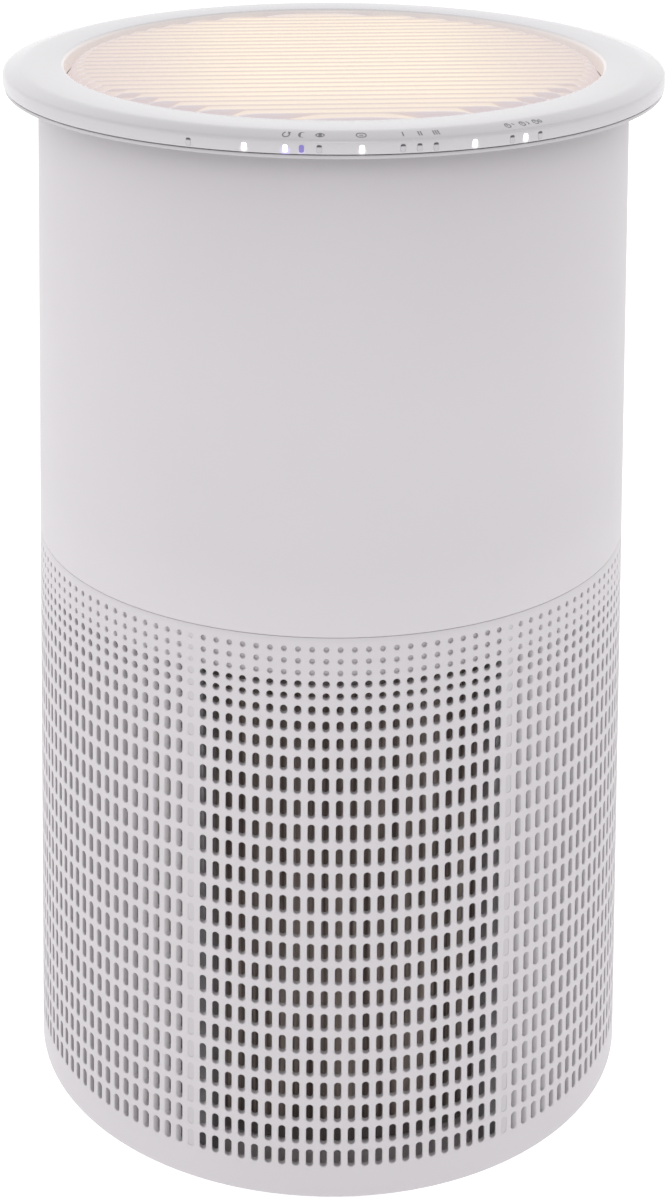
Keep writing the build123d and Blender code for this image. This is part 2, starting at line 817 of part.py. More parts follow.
def psu_capacitors():
    y0 = duct_out_r + slip + board_t
    caps = []
    for z in (-psu_h * 0.28, psu_h * 0.02):
        caps.append(Pos(psu_w * 0.2, y0 + psu_part_depth / 2, psu_z + z)
                    * Rot(0, 90, 0) * Cylinder(psu_part_depth / 2, 20.0))
    return group(caps)


def psu_heat_sink():
    y0 = duct_out_r + slip + board_t
    sink = psu_part(-psu_w * 0.12, -psu_h * 0.32, 30.0, 10.0)
    for k in range(5):
        x = -psu_w * 0.12 - 12.0 + 6.0 * k
        sink -= block(x - 1.0, x + 1.0, y0 + 2.0, body_r, psu_z - psu_h, psu_z)
    return sink


def sensor_face_y():
    return math.sqrt((inner_radius(sensor_z + sensor_h / 2) - slip) ** 2 - (sensor_w / 2) ** 2)


def sensor_box():
    """Particle sensor behind the vents; its air port faces them."""
    face = sensor_face_y()
    box = block(-sensor_w / 2, sensor_w / 2, -face, -face + sensor_depth,
                sensor_z - sensor_h / 2, sensor_z + sensor_h / 2)
    box -= Pos(0, -face, sensor_z) * Rot(90, 0, 0) * Cylinder(5.0, 6.0)
    return around(box, sensor_angle)


def reed_board():
    """Small board on the deck, above the magnet in the housing's post."""
    board = block(-reed_w / 2, reed_w / 2, -reed_r - reed_w / 4, -reed_r + reed_w / 4,
                  deck_top_z, deck_top_z + board_t)
    return around(board, post_angles[magnet_post])


def reed_switch():
    low = deck_top_z + board_t
    tube = Pos(0, -reed_r, low + 1.2) * Rot(0, 90, 0) * Cylinder(1.2, 0.75 * reed_w)
    return around(tube, post_angles[magnet_post])


NODES = (
    intake_shell, base_pan, foot_pads, guide_posts, interlock_magnet, base_screws,
    prefilter_sleeve, filter_pleats, carbon_liner, filter_gasket, pull_tab,
    upper_shell, inlet_deck, inlet_bell, finger_guard, fan_duct, duct_screws, stator,
    motor_flange, bearings, motor_core, rotor_can, motor_shaft, impeller, impeller_nut,
    lamp_board, lamp_bosses, lamp_leds, reflector, lamp_dome,
    outlet_grille, rim_tray, tray_screws, rim_cover, light_pipes, control_board, touch_pads,
    mains_inlet, inlet_pins, psu_board, psu_transformer, psu_capacitors, psu_heat_sink,
    sensor_box, reed_board, reed_switch,
)


def build_nodes():
    """Each node's name and solid."""
    made = {node.__name__: node() for node in NODES}
    made["filter_bottom_cap"] = filter_cap(filter_z0, True)
    made["filter_top_cap"] = filter_cap(filter_z1 - filter_cap_h, False)
    return made


if __name__ == "__main__":
    os.makedirs("parts", exist_ok=True)
    for name, solid in build_nodes().items():
        export_step(solid, f"parts/{name}.step")
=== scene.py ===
"""Round air purifier: its finishes, the perforated shell, the control ring and the grille, lit by its lamp
and by painted lamp light on its fins.

Metres, +Z up, the lit front of the ring towards -Y. Angles run round Z from the front, positive towards +X.
"""
import json
import math

import bmesh
import bpy
from mathutils import Matrix, Vector


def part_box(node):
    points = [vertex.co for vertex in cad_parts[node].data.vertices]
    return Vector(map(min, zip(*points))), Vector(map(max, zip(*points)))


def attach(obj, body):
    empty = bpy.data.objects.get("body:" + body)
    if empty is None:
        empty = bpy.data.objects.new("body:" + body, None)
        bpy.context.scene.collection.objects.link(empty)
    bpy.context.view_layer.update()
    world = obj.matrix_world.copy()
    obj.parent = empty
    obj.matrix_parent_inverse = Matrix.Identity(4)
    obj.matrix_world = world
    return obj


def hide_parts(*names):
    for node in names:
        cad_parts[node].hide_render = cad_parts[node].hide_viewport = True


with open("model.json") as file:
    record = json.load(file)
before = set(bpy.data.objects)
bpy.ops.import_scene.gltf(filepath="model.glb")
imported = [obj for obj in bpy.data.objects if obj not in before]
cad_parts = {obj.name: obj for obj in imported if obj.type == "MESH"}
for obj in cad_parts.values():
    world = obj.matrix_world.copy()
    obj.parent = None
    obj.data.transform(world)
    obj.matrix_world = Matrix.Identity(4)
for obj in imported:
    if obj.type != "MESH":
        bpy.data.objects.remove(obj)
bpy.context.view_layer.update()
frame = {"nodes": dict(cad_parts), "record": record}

MM = 0.001


def top_of(node):
    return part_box(node)[1].z


def foot_of(node):
    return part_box(node)[0].z


def radius_of(node):
    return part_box(node)[1].x


# ---- sizes from the frame ----
shell_foot_z, shell_foot_r = foot_of("intake_shell"), radius_of("intake_shell")
head_foot_z = foot_of("upper_shell")
draft = (shell_foot_r - radius_of("upper_shell")) / (head_foot_z - shell_foot_z)
ring_r, ring_top_z = radius_of("rim_cover"), top_of("rim_cover")
tray_z0, tray_z1 = foot_of("rim_tray"), top_of("rim_tray")
hoop_r, fin_top_z = radius_of("outlet_grille"), top_of("outlet_grille")
hoop_z0 = foot_of("outlet_grille")
filter_r = radius_of("filter_bottom_cap")
lens_z0, lens_z1 = foot_of("light_pipes"), top_of("light_pipes")

# ---- sizes of the pieces made here ----
SHELL_WALL, SEAM_GAP = 2.5 * MM, 0.18 * MM
SHELL_FOOT_ROUND, SHELL_RIM_ROUND = 1.5 * MM, 0.5 * MM
SECTORS, OPEN_COLUMNS = 6, 23
SLOT_W, SLOT_H, BRIDGE = 3.2 * MM, 8.7 * MM, 3.0 * MM
SLOT_ROWS, SHORT_ROWS, SLOT_SHRINK = 16, 7, 0.93 * MM
FIRST_ROW_RISE, LEAST_SLOT_H = 21.0 * MM, 3.1 * MM
SLOT_CORNERS = 12
DIMPLE_ROWS, DIMPLE_W, DIMPLE_PITCH = 3, 2.3 * MM, 5.4 * MM
BLIND_DEPTH, DIMPLE_DEPTH = 0.22 * MM, 1.2 * MM
SLOT_ROUND, BLIND_ROUND = 0.35 * MM, 0.10 * MM
SLIT_COUNT, SLIT_W, SLIT_H, SLIT_PITCH = 6, 2.0 * MM, 14.0 * MM, 5.0 * MM
SLIT_Z, SLIT_ANGLE = 372.0 * MM, 112.0
INLET_GAP, WALL_CUT_ROUND = 0.2 * MM, 0.12 * MM

RING_FACE_TOP = ring_top_z - 2.1 * MM
RING_LIP_Z = ring_top_z - 7.8 * MM
RING_FLAT_R = 139.3 * MM
RING_OPEN_R = 120.5 * MM
RING_WALL = 2.4 * MM
RING_INNER_CORNER_Z = RING_FACE_TOP - RING_WALL + 0.4 * MM
RING_LIP_ROUND, RING_FACE_ROUND, RING_TOP_ROUND, RING_INNER_ROUND = 0.4 * MM, 1.3 * MM, 1.5 * MM, 1.8 * MM
TRAY_INNER_R, TRAY_FOOT_ROUND, TRAY_TOP_ROUND = 123.6 * MM, 0.5 * MM, 0.3 * MM

FIN_PITCH, FIN_T, FIN_SHOULDER, FIN_PAIRS = 8.4 * MM, 2.4 * MM, 7.0 * MM, 14
FIN_ROUND = 0.7 * MM
HOOP_WALL, HOOP_OUTER_ROUND, HOOP_INNER_ROUND = 3.0 * MM, 0.5 * MM, 0.8 * MM
RIB_W, RIB_H, RIB_ROUND = 2.0 * MM, 4.0 * MM, 0.4 * MM

SLEEVE_WALL, SLEEVE_DIP, SLEEVE_FLUTES = 0.8 * MM, 0.9 * MM, 180

LENS_W, LENS_DEPTH, LENS_CORNER, LENS_EDGE_ROUND = 2.0 * MM, 1.2 * MM, 0.75 * MM, 0.08 * MM
LENS_PROUD, FRAME_PROUD, FRAME_MARGIN = 0.12 * MM, 0.04 * MM, 0.11 * MM
LENSES = (
    (-27.2, "dark"), (-18.1, "white"), (-11.7, "violet"), (-9.2, "faint"), (-6.5, "dark"),
    (0.0, "white"), (6.3, "dark"), (8.9, "dark"), (11.5, "dark"), (17.9, "white"),
    (24.4, "dark"), (26.9, "white"), (29.7, "dark"),
)

shell_rim_z = head_foot_z - SEAM_GAP


def body_radius(z):
    """Outer radius of the drafted body at height z."""
    return shell_foot_r - draft * (z - shell_foot_z)


def at_angle(radius, angle, z):
    a = math.radians(angle)
    return Vector((radius * math.sin(a), -radius * math.cos(a), z))


# ---- camera and light ----
def aim_camera():
    """Eye a little above the ring, about a metre in front and just left of the object's own front."""
    azimuth, distance, height = math.radians(-4.422), 1.0383, 0.7143
    pitch, heading, roll = math.radians(18.0155), math.radians(-3.559), math.radians(0.092)
    data = bpy.data.cameras.new("camera")
    data.lens = 70.36
    data.sensor_width = 36.0
    data.shift_x = 0.0302
    data.shift_y = -0.2333
    camera = bpy.data.objects.new("camera", data)
    turn = Matrix.Rotation(heading, 4, "Z") @ Matrix.Rotation(math.pi / 2 - pitch, 4, "X")
    place = Vector((distance * math.sin(azimuth), -distance * math.cos(azimuth), height))
    camera.matrix_world = Matrix.Translation(place) @ turn @ Matrix.Rotation(roll, 4, "Z")
    bpy.context.scene.collection.objects.link(camera)
    bpy.context.scene.camera = camera


def soft_box(name, place, aim, size, power):
    light = bpy.data.lights.new(name, "AREA")
    light.shape, light.size, light.energy = "SQUARE", size, power
    lamp = bpy.data.objects.new(name, light)
    toward = Vector(aim) - Vector(place)
    lamp.matrix_world = Matrix.Translation(place) @ toward.to_track_quat("-Z", "Y").to_matrix().to_4x4()
    bpy.context.scene.collection.objects.link(lamp)


# ---- shader maths ----
class Value:
    """A socket of a node tree; the operators on it add Math nodes."""

    def __init__(self, nodes, socket):
        self.nodes, self.socket = nodes, socket

    def math(self, operation, *terms):
        return self.nodes.node("ShaderNodeMath", {"operation": operation}, dict(enumerate(terms)))

    def __add__(self, other):
        return self.math("ADD", self, other)

    def __radd__(self, other):
        return self.math("ADD", other, self)

    def __sub__(self, other):
        return self.math("SUBTRACT", self, other)

    def __rsub__(self, other):
        return self.math("SUBTRACT", other, self)

    def __mul__(self, other):
        return self.math("MULTIPLY", self, other)

    def __rmul__(self, other):
        return self.math("MULTIPLY", other, self)

    def __pow__(self, other):
        return self.math("POWER", self, other)

    def sine(self):
        return self.math("SINE", self)

    def root(self):
        return self.math("SQRT", self)

    def angle_to(self, other):
        return self.math("ARCTAN2", self, other)

    def clear(self, low, high):
        """0 at low and under, 1 at high and over, with a soft change between."""
        return self.nodes.node(
            "ShaderNodeMapRange", {"interpolation_type": "SMOOTHSTEP", "clamp": True},
            {"Value": self, "From Min": low, "From Max": high, "To Min": 0.0, "To Max": 1.0})


class Nodes:
    """A node tree, and one method that adds any node to it."""

    def __init__(self, tree):
        self.tree = tree

    def plug(self, socket, value):
        if isinstance(value, Value):
            self.tree.links.new(value.socket, socket)
        else:
            socket.default_value = value

    def node(self, kind, settings=None, sockets=None, out=0):
        made = self.tree.nodes.new(kind)
        for name, value in (settings or {}).items():
            setattr(made, name, value)
        for name, value in (sockets or {}).items():
            self.plug(made.inputs[name], value)
        return Value(self, made.outputs[out])

    def place(self, kind="Object"):
        """The point on the piece, in metres; Generated is a sky's direction."""
        return self.node("ShaderNodeTexCoord", out=kind)

    def axes(self, kind="Object"):
        """X, Y and Z of the point as three values."""
        first = self.node("ShaderNodeSeparateXYZ", sockets={0: self.place(kind)})
        return [Value(self, socket) for socket in first.socket.node.outputs]


class Paint(Nodes):
    """A material with a Principled shader."""

    def __init__(self, name, color, roughness, metallic=0.0):
        self.material = bpy.data.materials.new(name)
        self.material.use_nodes = True
        self.material.diffuse_color = (*color, 1.0)
        super().__init__(self.material.node_tree)
        self.shader = self.tree.nodes["Principled BSDF"]
        self.set("Base Color", (*color, 1.0))
        self.set("Roughness", roughness)
        self.set("Metallic", metallic)

    def set(self, socket, value):
        self.plug(self.shader.inputs[socket], value)

    def driving(self, name):
        """The value that is plugged into one of the shader's sockets now."""
        return Value(self, self.shader.inputs[name].links[0].from_socket)

    def glow(self, color, strength=1.0):
        self.set("Emission Color", color)
        self.set("Emission Strength", strength)

    def from_axis(self):
        """How far the point is from the object's upright axis."""
        x, y = self.axes()[:2]
        return (x ** 2.0 + y ** 2.0).root()

    def noise(self, scale, detail=2.0, stretch=None):
        where = self.place()
        if stretch:
            where = self.node("ShaderNodeVectorMath", {"operation": "MULTIPLY"},
                              {0: where, 1: stretch})
        return self.node("ShaderNodeTexNoise", {},
                         {"Vector": where, "Scale": scale, "Detail": detail, "Roughness": 0.5})

    def mix(self, share, low, high):
        """A colour between low and high."""
        colors = {6: low, 7: high}
        sockets = {k: c if isinstance(c, Value) else (*c, 1.0) for k, c in colors.items()}
        return self.node("ShaderNodeMix", {"data_type": "RGBA"}, {0: share, **sockets}, out=2)

    def bump(self, height, depth, strength=1.0):
        self.set("Normal", self.node("ShaderNodeBump", {},
                                     {"Strength": strength, "Distance": depth, "Height": height}))


# ---- finishes ----
def shaded(color, share):
    return tuple(c * share for c in color)


def moulded(name, color, roughness, grain=2600.0):
    """Moulded plastic: a fine spark-eroded grain, and a slight drift in colour and polish."""
    paint = Paint(name, color, roughness)
    paint.set("Base Color", paint.mix(paint.noise(9.0, 3.0), shaded(color, 0.97), shaded(color, 1.03)))
    paint.set("Roughness", roughness - 0.05 + 0.1 * paint.noise(60.0, 2.0))
    paint.bump(paint.noise(grain, 2.0), 0.03 * MM)
    return paint


def satin(name, color, roughness):
    """Polished tool finish: no grain, and only a slight drift in colour and gloss."""
    paint = Paint(name, color, roughness)
    drift = paint.noise(7.0, 2.0)
    paint.set("Base Color", paint.mix(drift, shaded(color, 0.985), shaded(color, 1.015)))
    paint.set("Roughness", roughness - 0.02 + 0.04 * drift)
    return paint


def tray_plastic_with_painted_shade(name, color):
    """The ring's white at the lip, a little darker; underneath, near-black painted shade on a face that
    nobody sees, so that it throws little light back on the body under the ring.
    """
    paint = satin(name, color, 0.4)
    lip = paint.from_axis().clear(ring_r - 2.6 * MM, ring_r - 1.8 * MM)
    # painted shade: past the lip, the underside is painted near black
    paint.set("Base Color", paint.mix(lip, (0.09, 0.088, 0.09), color))
    return paint


def shell_plastic(name, color):
    """The body's white: as moulded outside, and a little greyer down in the slots, where the grey is
    painted shade.
    """
    paint = moulded(name, color, 0.5)
    surface = shell_foot_r - draft * (paint.axes()[2] - shell_foot_z)
    into = surface - paint.from_axis()
    inside = into.clear(SHELL_WALL - 0.25 * MM, SHELL_WALL)
    # painted shade: the slot walls darken with depth below the outer surface, fading out again at the inner
    # face
    painted_slot_shade = into.clear(0.05 * MM, 0.40 * MM) * (1.0 - inside)
    paint.set("Base Color", paint.mix(painted_slot_shade, paint.driving("Base Color"), shaded(color, 0.82)))
    return paint


def glow_spots(paint, kind, size, strength):
    """Painted light: emission on the ring round the lit windows of one kind, where their light spills."""
    x, y, z = paint.axes()
    total = 0.0
    for angle, lens in LENSES:
        if lens == kind:
            spot = at_angle(ring_r, angle, lens_z0 + 0.4 * MM)
            apart = ((x - spot.x) ** 2.0 + (y - spot.y) ** 2.0 + (z - spot.z) ** 2.0).root()
            total = (1.0 - apart.clear(0.0, size)) ** 2.0 * strength + total
    return total


def ring_plastic(name, color):
    """The ring's satin white, with painted light round its windows and painted lamp light down the inner
    wall of its opening.
    """
    paint = satin(name, color, 0.24)
    white = glow_spots(paint, "white", 2.8 * MM, 0.6)
    tinted = glow_spots(paint, "violet", 3.6 * MM, 0.9) + glow_spots(paint, "faint", 2.6 * MM, 0.4)
    spill = paint.mix(white, (0.0, 0.0, 0.0), (0.9, 0.9, 0.9))
    spill = paint.mix(tinted, spill, (0.30, 0.22, 0.95))
    # painted light: the inner wall of the opening glows warm, standing in for the lamp's light below
    past_edge = paint.from_axis().clear(RING_OPEN_R + 0.2 * MM, RING_OPEN_R + 1.6 * MM)
    paint.glow(paint.mix(past_edge, (0.20, 0.175, 0.15), spill))
    return paint


def weave(paint, thread):
    """Height of a plain weave on a round piece: threads run round it and up it."""
    x, y, z = paint.axes()
    around = x.angle_to(y) * filter_r
    return 0.5 + 0.5 * (around * (math.tau / thread)).sine() * (z * (math.tau / thread)).sine()


def woven(name, color, thread):
    paint = Paint(name, color, 0.85)
    height = weave(paint, thread)
    paint.set("Base Color", paint.mix(height, shaded(color, 0.4), color))
    paint.bump(height, thread * 0.25)
    return paint


def knitted(name):
    """Fine dark knit: upright ribs that vary in tone, with a small mesh over them."""
    paint = Paint(name, (0.34, 0.29, 0.27), 0.85)
    ribs = paint.noise(1.0, 3.0, (420.0, 420.0, 9.0))
    height = weave(paint, 1.1 * MM)
    tone = ribs.clear(0.30, 0.70) * (0.75 + 0.25 * height)
    paint.set("Base Color", paint.mix(tone, (0.16, 0.12, 0.108), (0.62, 0.535, 0.48)))
    paint.bump(height, 0.3 * MM)
    return paint


def brushed(name, color, roughness=0.32):
    paint = Paint(name, color, roughness, metallic=1.0)
    lines = paint.noise(1.0, 3.0, (60.0, 60.0, 2500.0))
    paint.set("Roughness", roughness - 0.08 + 0.16 * lines)
    paint.set("Base Color", paint.mix(lines, shaded(color, 0.85), color))
    paint.bump(lines, 0.02 * MM, 0.5)
    return paint


def board_mask(name):
    """Green solder mask over copper tracks."""
    paint = Paint(name, (0.03, 0.16, 0.08), 0.3)
    cells = paint.node("ShaderNodeTexBrick", {"offset": 0.35, "squash": 0.8},
                       {"Vector": paint.place(), "Scale": 160.0, "Mortar Size": 0.05,
                        "Color1": (0.0, 0.0, 0.0, 1.0), "Color2": (0.2, 0.2, 0.2, 1.0),
                        "Mortar": (1.0, 1.0, 1.0, 1.0)})
    tracks = cells * paint.noise(90.0, 1.0).clear(0.45, 0.55)
    paint.set("Base Color", paint.mix(tracks, (0.02, 0.13, 0.06), (0.10, 0.34, 0.16)))
    paint.bump(tracks, 0.04 * MM)
    return paint


def windings(name):
    """Enamelled wire laid side by side."""
    paint = Paint(name, (0.45, 0.17, 0.06), 0.35, metallic=0.8)
    wires = 0.5 + 0.5 * (paint.axes()[2] * (math.tau / (0.8 * MM))).sine()
    paint.set("Base Color", paint.mix(wires, (0.20, 0.07, 0.03), (0.62, 0.26, 0.10)))
    paint.bump(wires, 0.2 * MM)
    return paint


def pleated_paper(name):
    paint = Paint(name, (0.78, 0.77, 0.73), 0.9)
    fibres = paint.noise(1800.0, 4.0, (1.0, 1.0, 0.25))
    paint.set("Base Color", paint.mix(fibres, (0.70, 0.69, 0.65), (0.84, 0.83, 0.80)))
    paint.bump(fibres, 0.1 * MM)
    return paint


def granules(name):
    """Bonded carbon: small lumps with dark gaps."""
    paint = Paint(name, (0.03, 0.03, 0.03), 0.7)
    lumps = paint.node("ShaderNodeTexVoronoi", {"feature": "F1"},
                       {"Vector": paint.place(), "Scale": 700.0})
    paint.set("Base Color", paint.mix(lumps.clear(0.1, 0.7), (0.06, 0.06, 0.06), (0.01, 0.01, 0.01)))
    paint.bump(1.0 - lumps, 0.6 * MM)
    return paint


def foam_rubber(name, color=(0.04, 0.04, 0.042)):
    paint = Paint(name, color, 0.85)
    pores = paint.noise(1500.0, 3.0)
    paint.set("Base Color", paint.mix(pores.clear(0.35, 0.6), shaded(color, 0.5), color))
    paint.bump(pores, 0.2 * MM)
    return paint


def lit_window(name, color, strength, base=(0.9, 0.9, 0.92)):
    """A frosted window with a chip lit behind it."""
    paint = Paint(name, base, 0.3)
    frost = paint.noise(1500.0, 2.0)
    paint.set("Roughness", 0.22 + 0.2 * frost)
    paint.glow(paint.mix(frost, shaded(color, 0.92), color), strength)
    return paint


def dark_window(name):
    """An unlit window: frosted, with the dark pocket of its chip behind the upper end."""
    paint = Paint(name, (0.5, 0.48, 0.5), 0.3)
    upper = paint.axes()[2].clear(lens_z1 - 1.15 * MM, lens_z1 - 0.55 * MM)
    pocket = upper * (0.8 + 0.2 * paint.noise(900.0, 2.0))
    paint.set("Base Color", paint.mix(pocket, (0.56, 0.54, 0.57), (0.03, 0.03, 0.035)))
    return paint


def lamp_glow(name, color, strength, spread):
    """Opal plastic lit from behind: brightest at the middle, with a faint mottle."""
    paint = Paint(name, (0.9, 0.87, 0.8), 0.35)
    share = 1.0 - paint.from_axis().clear(0.0, spread)
    mottle = 0.9 + 0.1 * paint.noise(70.0, 2.0)
    paint.glow(paint.mix(share * mottle, shaded(color, 0.35), color), strength)
    return paint


def grille_plastic(name):
    """White fins with painted lamp light: their faces glow, standing in for the lamp's light from below,
    and stay cool on top and by the hoop.

    The painted glow is strongest in the middle and dims to the sides, to the front and to the back.
    """
    paint = moulded(name, (0.54, 0.505, 0.53), 0.6, 1800.0)
    paint.set("Specular IOR Level", 0.15)
    x, y, z = paint.axes()
    out = paint.from_axis()
    aside = ((x - 0.004) ** 2.0).root()
    by_hoop = out.clear(0.1065, 0.1105) * (1.0 - y.clear(-0.075, -0.045))
    below = (fin_top_z - z - 0.35 * MM - 2.4 * MM * by_hoop).clear(-0.3 * MM, 0.3 * MM)
    middle = (1.0 - 0.75 * aside.clear(0.03, 0.125)) * (1.0 - 0.15 * y.clear(0.05, 0.12))
    middle = middle * (1.0 - 0.35 * (1.0 - y.clear(-0.11, -0.05)))
    # painted light: warm emission on the fin faces, cooler on the tops and by the hoop
    glow = paint.mix(middle, (0.34, 0.29, 0.26), (0.535, 0.475, 0.335))
    glow = paint.mix(out.clear(0.109, 0.117), glow, (0.34, 0.29, 0.265))
    edge = paint.mix(middle, (0.24, 0.195, 0.18), (0.35, 0.26, 0.19))
    edge = paint.mix(by_hoop, edge, (0.27, 0.235, 0.235))
    paint.glow(paint.mix(below, edge, glow))
    return paint


# ---- making and placing pieces ----
def finish_mesh(bm, name, paint, sharp=35.0, normals=True):
    """Turns a bmesh into a piece: doubles merged, normals out, smooth with sharp corners kept."""
    bmesh.ops.remove_doubles(bm, verts=bm.verts, dist=1e-6)
    if normals:
        bmesh.ops.recalc_face_normals(bm, faces=bm.faces)
    for face in bm.faces:
        face.smooth = True
    limit = math.radians(sharp)
    for edge in bm.edges:
        edge.smooth = len(edge.link_faces) == 2 and edge.calc_face_angle(0.0) < limit
    mesh = bpy.data.meshes.new(name)
    bm.to_mesh(mesh)
    bm.free()
    mesh.materials.append(paint.material)
    piece = bpy.data.objects.new(name, mesh)
    bpy.context.scene.collection.objects.link(piece)
    return piece


def rounded(piece, width):
    """A live bevel that softens the piece's sharp edges."""
    bevel = piece.modifiers.new("soft_edges", "BEVEL")
    bevel.width, bevel.segments, bevel.limit_method = width, 2, "ANGLE"
    bevel.angle_limit = math.radians(35.0)
    bevel.use_clamp_overlap = True
    bevel.harden_normals = True


def bevelled(bm, edges, width, segments):
    """Rounds some edges of a mesh, and returns what the operator says it made."""
    return bmesh.ops.bevel(bm, geom=edges, offset=width, offset_type="OFFSET", segments=segments,
                           profile=0.5, affect="EDGES", material=-1)


def install(piece, body, slot, *nodes):
    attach(piece, body)
    if nodes:
        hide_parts(*nodes)


def turned_piece(name, paint, points, rounds, steps=240, segments=3, sharp=35.0):
    """Spins a closed outline of (radius, height) points, then bevels the corners named in rounds."""
    bm = bmesh.new()
    corners = [bm.verts.new((radius, 0.0, z)) for radius, z in points]
    edges = [bm.edges.new((corners[k], corners[(k + 1) % len(corners)])) for k in range(len(corners))]
    bmesh.ops.spin(bm, geom=corners + edges, axis=(0, 0, 1), cent=(0, 0, 0), angle=math.tau,
                   steps=steps, use_merge=True, use_duplicate=False)
    bmesh.ops.recalc_face_normals(bm, faces=bm.faces)
    for index, width in rounds.items():
        radius, z = points[index]
        loop = [e for e in bm.edges if all(
            abs(v.co.xy.length - radius) < 1e-6 and abs(v.co.z - z) < 1e-6 for v in e.verts)]
        bevelled(bm, loop, width, segments)
    return finish_mesh(bm, name, paint, sharp)


def dressed(node, paint, slot, body, edge):
    """A merged, smooth-shaded copy of a CAD node with softened edges, in the node's place."""
    bm = bmesh.new()
    bm.from_mesh(frame["nodes"][node].data)
    piece = finish_mesh(bm, f"{node}_finish", paint, 30.0, normals=False)
    if edge:
        rounded(piece, edge)
    install(piece, body, slot, node)


# ---- the perforated shell ----
COLUMN_ANGLE = 360.0 / SECTORS / (OPEN_COLUMNS + 1)
cell_w = math.radians(COLUMN_ANGLE) * shell_foot_r
sector_left = -math.radians((OPEN_COLUMNS / 2) * COLUMN_ANGLE) * shell_foot_r
sector_right = sector_left + (OPEN_COLUMNS + 1) * cell_w


def slot_rows():
    """Middle, opening width, opening height and cell height of each row, from the lowest up."""
    rows = []
    low = shell_foot_z + FIRST_ROW_RISE - (SLOT_H + BRIDGE) / 2
    for k in range(SLOT_ROWS + SHORT_ROWS):
        height = SLOT_H - SLOT_SHRINK * max(0, k + 1 - SLOT_ROWS)
        rows.append((low + (height + BRIDGE) / 2, SLOT_W, max(height, LEAST_SLOT_H), height + BRIDGE))
        low += height + BRIDGE
    for k in range(DIMPLE_ROWS):
        rows.append((low + DIMPLE_PITCH / 2, DIMPLE_W, DIMPLE_W, DIMPLE_PITCH))
        low += DIMPLE_PITCH
    return rows


def new_verts(made):
    return [item for item in made["geom"] if isinstance(item, bmesh.types.BMVert)]


def slot_cell(bm, middle, width, height, cell_h):
    """One round-ended opening, still filled, and the ring of faces out to its rectangle of shell."""
    half_step = math.pi / SLOT_CORNERS
    upright = Matrix.Rotation(math.pi / 2, 4, "X") @ Matrix.Rotation(half_step, 4, "Z")
    disc = bmesh.ops.create_circle(bm, cap_ends=True, segments=SLOT_CORNERS, matrix=upright,
                                   radius=width / 2 / math.cos(half_step))
    edges = list({edge for vert in disc["verts"] for edge in vert.link_edges})
    rim = new_verts(bmesh.ops.extrude_edge_only(bm, edges=edges))
    for vert in rim:
        reach = max(abs(vert.co.x), abs(vert.co.z))
        vert.co.x *= cell_w / 2 / reach
        vert.co.z *= cell_h / 2 / reach
    for vert in disc["verts"]:
        if height > width:
            vert.co.z += math.copysign((height - width) / 2, vert.co.z)
        else:
            vert.co.z *= height / width
    bmesh.ops.translate(bm, verts=disc["verts"] + rim, vec=(sector_left + cell_w / 2, 0, middle))


def flat_sector():
    """A sector of the shell unrolled flat: x along the arc, y into the wall, z up."""
    bm = bmesh.new()
    rows = slot_rows()
    for middle, width, height, cell_h in rows:
        slot_cell(bm, middle, width, height, cell_h)
    column = bm.verts[:] + bm.edges[:] + bm.faces[:]
    for k in range(1, OPEN_COLUMNS + 1):
        copy = bmesh.ops.duplicate(bm, geom=column)
        bmesh.ops.translate(bm, verts=new_verts(copy), vec=(k * cell_w, 0, 0))
    bmesh.ops.remove_doubles(bm, verts=bm.verts, dist=2e-6)
    low = rows[0][0] - rows[0][3] / 2
    high = rows[-1][0] + rows[-1][3] / 2
    for edge_z, band_z in ((low, shell_foot_z), (high, shell_rim_z)):
        edges = [e for e in bm.edges if all(abs(v.co.z - edge_z) < 2e-6 for v in e.verts)]
        for vert in new_verts(bmesh.ops.extrude_edge_only(bm, edges=edges)):
            vert.co.z = band_z
    dimple_z = rows[SLOT_ROWS + SHORT_ROWS][0] - DIMPLE_PITCH / 2
    blind_x = sector_right - cell_w
    caps = [f for f in bm.faces if len(f.verts) == SLOT_CORNERS]
    open_caps = [f for f in caps if f.calc_center_median().x < blind_x
                 and f.calc_center_median().z < dimple_z]
    bmesh.ops.delete(bm, geom=open_caps, context="FACES_ONLY")
    wall = bmesh.ops.extrude_face_region(bm, geom=bm.faces[:], use_keep_orig=True)
    bmesh.ops.translate(bm, verts=new_verts(wall), vec=(0, SHELL_WALL, 0))
    bmesh.ops.recalc_face_normals(bm, faces=bm.faces)
    pockets = [f for f in bm.faces
               if len(f.verts) == SLOT_CORNERS and f.calc_center_median().y < 1e-6]
    for face in bmesh.ops.extrude_discrete_faces(bm, faces=pockets)["faces"]:
        deep = DIMPLE_DEPTH if face.calc_center_median().x < blind_x else BLIND_DEPTH
        bmesh.ops.translate(bm, verts=face.verts, vec=(0, deep, 0))
    return bm


def ease_edges(bm):
    """Rounds the foot, softens the top edge and breaks every slot's rim; the sector's side edges stay
    square.
    """
    def on_face(edge):
        return all(v.co.y < 1e-6 for v in edge.verts) and edge.calc_face_angle(0.0) > 1.0

    def at_height(edge, z):
        return all(abs(v.co.z - z) < 1e-6 for v in edge.verts)

    def at_side(edge):
        return any(all(abs(v.co.x - x) < 2e-6 for v in edge.verts) for x in (sector_left, sector_right))

    outline = [e for e in bm.edges if on_face(e)]
    foot = [e for e in outline if at_height(e, shell_foot_z)]
    top = [e for e in outline if at_height(e, shell_rim_z)]
    side = [e for e in outline if at_side(e)]
    rims = set(outline) - set(foot) - set(top) - set(side)
    blind = {e for e in rims if all(v.co.x > sector_right - cell_w for v in e.verts)}
    eased = ((rims - blind, SLOT_ROUND, 1), (blind, BLIND_ROUND, 1),
             (foot, SHELL_FOOT_ROUND, 4), (top, SHELL_RIM_ROUND, 2))
    for edges, width, segments in eased:
        bevelled(bm, [e for e in edges if e.is_valid], width, segments)


